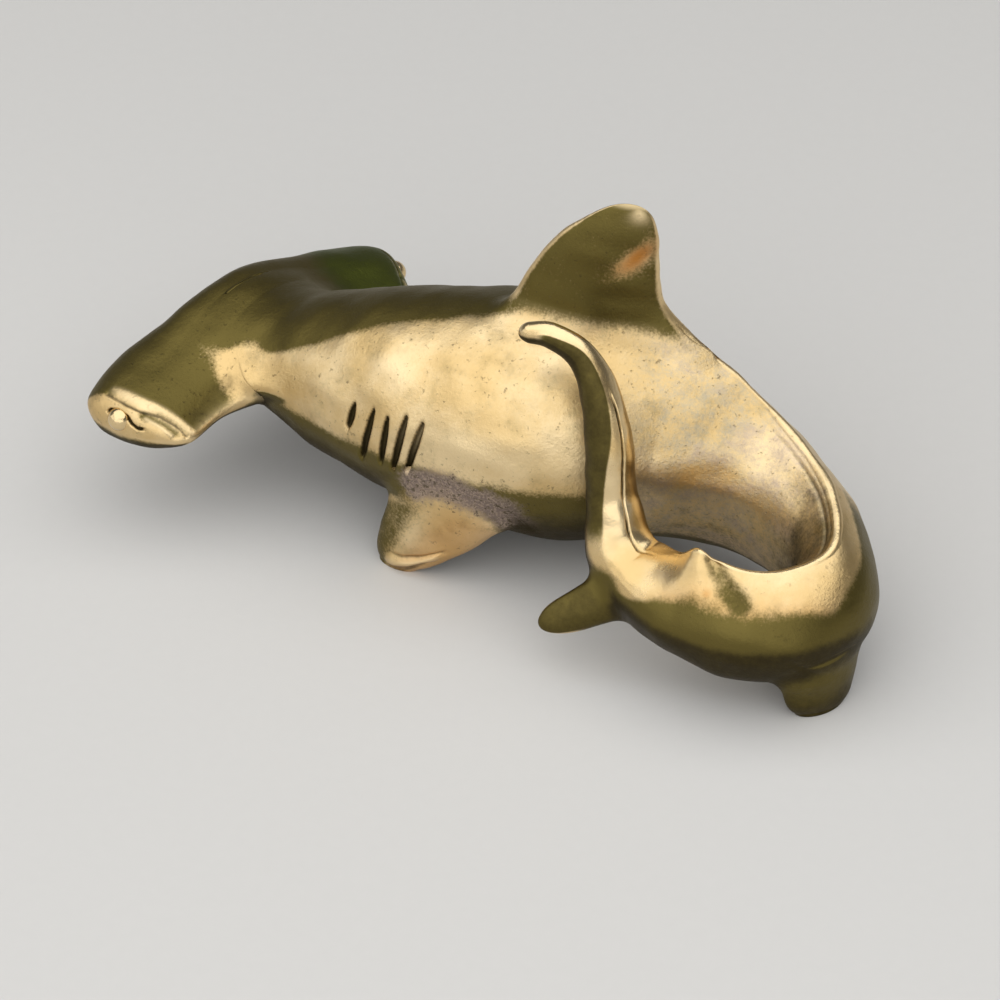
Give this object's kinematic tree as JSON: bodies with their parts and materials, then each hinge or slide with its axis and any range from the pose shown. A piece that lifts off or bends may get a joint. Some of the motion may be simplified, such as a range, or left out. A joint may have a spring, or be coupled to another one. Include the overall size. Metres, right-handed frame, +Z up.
{
  "type": "shark figurine",
  "caption": "Small solid brass figurine of a curled hammerhead shark that stands on its paired fins, with its tail raised beside its flank.",
  "frame": {"origin": "middle of the bounding box, on the table that the fins stand on", "axes": "+Z up, +X towards the bend of the tail (the head lies towards -X and turns towards +Y), +Y away from the raised tail"},
  "size_m": [0.0612, 0.0478, 0.0326],
  "materials": {
    "patinated_brass": "aged cast brass with olive patina",
    "warm_brass": "satin cast brass with cloudy oxide",
    "polished_brass": "rubbed bright brass",
    "bead_brass": "satin brass bead"
  },
  "bodies": {
    "root": {"head": "patinated_brass", "left_eye": "bead_brass", "right_eye": "bead_brass", "trunk": "warm_brass", "dorsal_fin": "warm_brass", "left_pectoral_fin": "warm_brass", "right_pectoral_fin": "warm_brass", "left_pelvic_fin": "polished_brass", "right_pelvic_fin": "polished_brass", "tail_upper_lobe": "polished_brass", "tail_lower_lobe": "polished_brass"}
  },
  "joints": []
}
